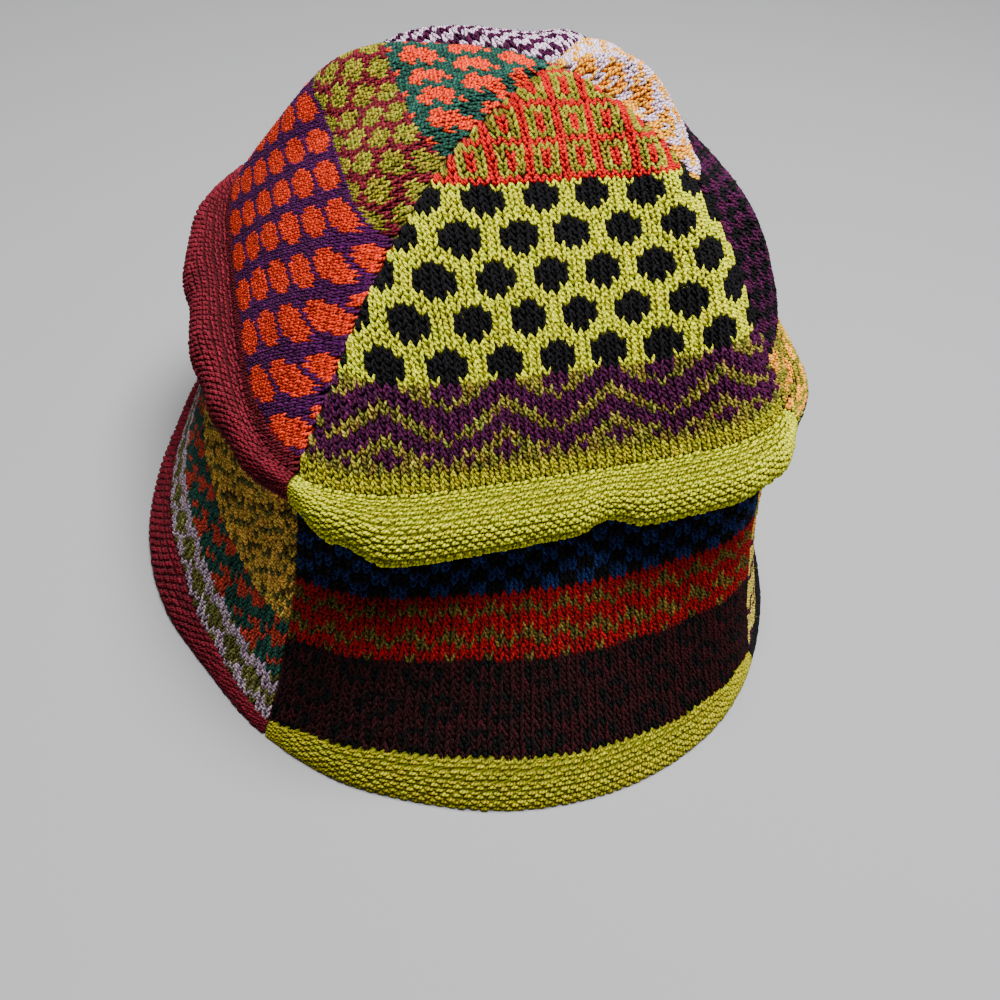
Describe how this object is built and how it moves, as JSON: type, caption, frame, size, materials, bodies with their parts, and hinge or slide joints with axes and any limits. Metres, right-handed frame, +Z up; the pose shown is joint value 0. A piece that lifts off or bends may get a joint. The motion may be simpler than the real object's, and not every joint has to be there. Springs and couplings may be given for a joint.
{
  "type": "knit bucket hat",
  "caption": "Soft knitted patchwork bucket hat: a crown of triangular gores, a rolled lip over each seam, and a deep flared brim of striped panels with rolled hems.",
  "frame": {"origin": "on the ground under the middle of the hat's box, with the hat standing on its hems", "axes": "+Z up, +Y along the longer way of the hat (front to back of the head), +X across it; the quarter with the lime dotted gore faces -Y"},
  "size_m": [0.2185, 0.2745, 0.1628],
  "materials": {
    "crown_front_knit": "matt stranded colourwork knitting in heathered wool",
    "crown_right_knit": "matt stranded colourwork knitting in heathered wool",
    "crown_back_knit": "matt stranded colourwork knitting in heathered wool",
    "crown_left_knit": "matt stranded colourwork knitting in heathered wool",
    "brim_front_knit": "matt stranded colourwork knitting in heathered wool",
    "brim_right_knit": "matt stranded colourwork knitting in heathered wool",
    "brim_back_knit": "matt stranded colourwork knitting in heathered wool",
    "brim_left_knit": "matt stranded colourwork knitting in heathered wool",
    "lime_yarn": "matt plain knitting in one colour, purl side out",
    "black_yarn": "matt plain knitting in one colour, purl side out",
    "purple_yarn": "matt plain knitting in one colour, purl side out",
    "maroon_yarn": "matt plain knitting in one colour, purl side out"
  },
  "bodies": {
    "root": {"crown_front": "crown_front_knit", "crown_right": "crown_right_knit", "crown_back": "crown_back_knit", "crown_left": "crown_left_knit", "brim_front": "brim_front_knit", "brim_right": "brim_right_knit", "brim_back": "brim_back_knit", "brim_left": "brim_left_knit", "lip_front": "lime_yarn", "hem_front": "lime_yarn", "lip_right": "black_yarn", "hem_right": "black_yarn", "lip_back": "purple_yarn", "hem_back": "purple_yarn", "lip_left": "maroon_yarn", "hem_left": "maroon_yarn"}
  },
  "joints": []
}
